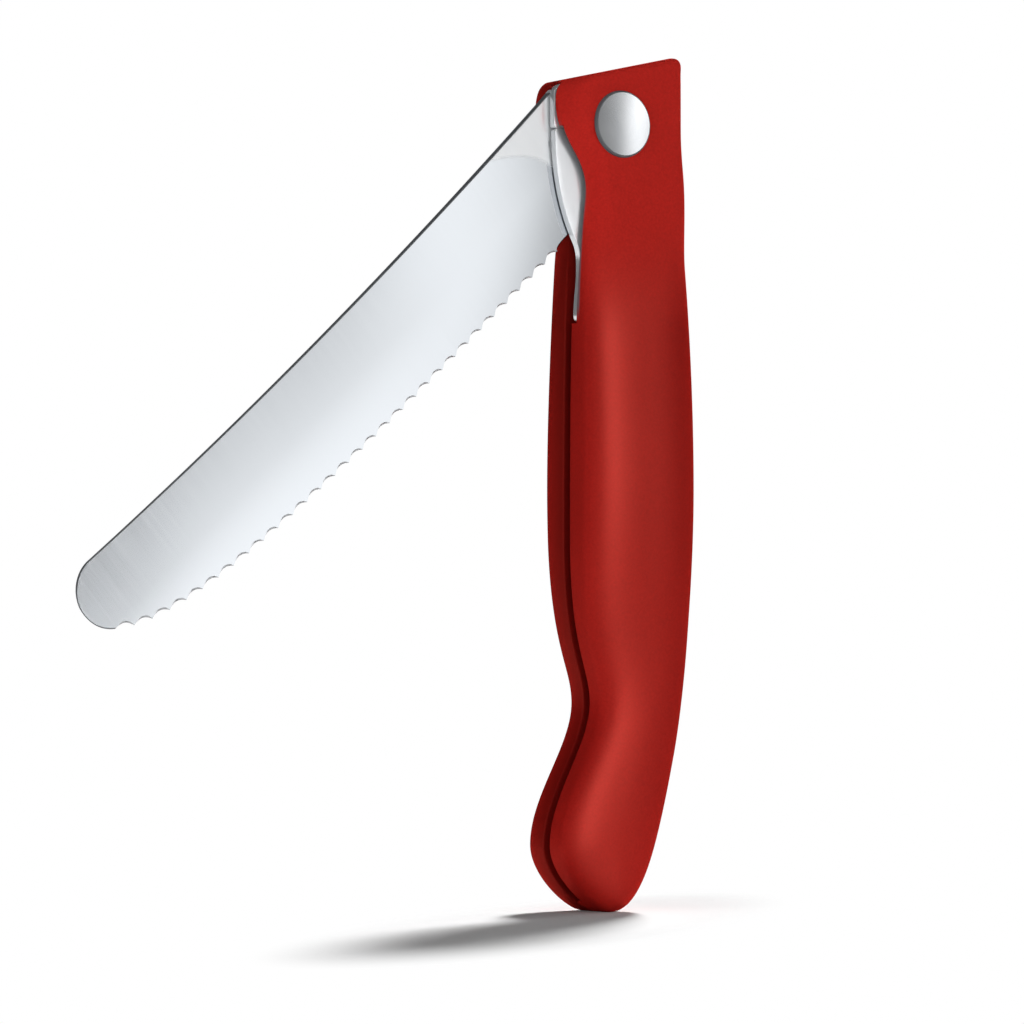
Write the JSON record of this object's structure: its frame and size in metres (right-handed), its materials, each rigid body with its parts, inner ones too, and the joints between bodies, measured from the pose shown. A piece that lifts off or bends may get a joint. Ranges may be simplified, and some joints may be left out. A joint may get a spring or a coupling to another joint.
{
  "type": "folding knife",
  "caption": "Folding paring knife, half open: round-nosed steel blade with a wavy edge, moulded red handle with a finger notch, liner lock leaf and a broad pivot rivet.",
  "frame": {"origin": "the middle of the grip, where the hand closes on the handle, halfway through its thickness", "axes": "+Z along the handle from the butt to the pivot head, +X across it from the slot to the spine, +Y through its thickness from the front scale to the rear scale"},
  "size_m": [0.1084, 0.015, 0.134],
  "materials": {
    "handle_plastic": "fine grained matte moulding",
    "blade_steel": "fine satin",
    "liner_steel": "satin, polished rim",
    "rivet_steel": "polished",
    "bearing_bronze": "plain bearing bronze",
    "pin_steel": "ground"
  },
  "bodies": {
    "handle": {"front_scale": "handle_plastic", "rear_scale": "handle_plastic", "back_spacer": "handle_plastic", "liner_plate": "liner_steel", "liner_rivet_upper": "pin_steel", "liner_rivet_lower": "pin_steel", "pivot_rivet_front": "rivet_steel", "pivot_rivet_rear": "rivet_steel", "pivot_bush": "bearing_bronze", "front_washer": "bearing_bronze", "rear_washer": "bearing_bronze", "stop_pin": "pin_steel", "scale_dowel_upper": "pin_steel", "scale_dowel_middle": "pin_steel", "scale_dowel_butt": "pin_steel"},
    "blade": {"blade": "blade_steel"},
    "lock_leaf": {"lock_leaf": "liner_steel", "detent_ball": "pin_steel"}
  },
  "joints": [
    {"name": "blade_pivot", "type": "hinge", "parent": "handle", "child": "blade", "pos_m": [-0.0046, 0, 0.056], "axis": [0, 1, 0], "range_deg": [-48.2, 132.3]},
    {"name": "lock_leaf_press", "type": "hinge", "parent": "handle", "child": "lock_leaf", "pos_m": [-0.0078, -0.0014, 0.028], "axis": [1, 0, 0], "range_deg": [0, 2.3], "stiffness_Nm_per_rad": 0.4}
  ]
}
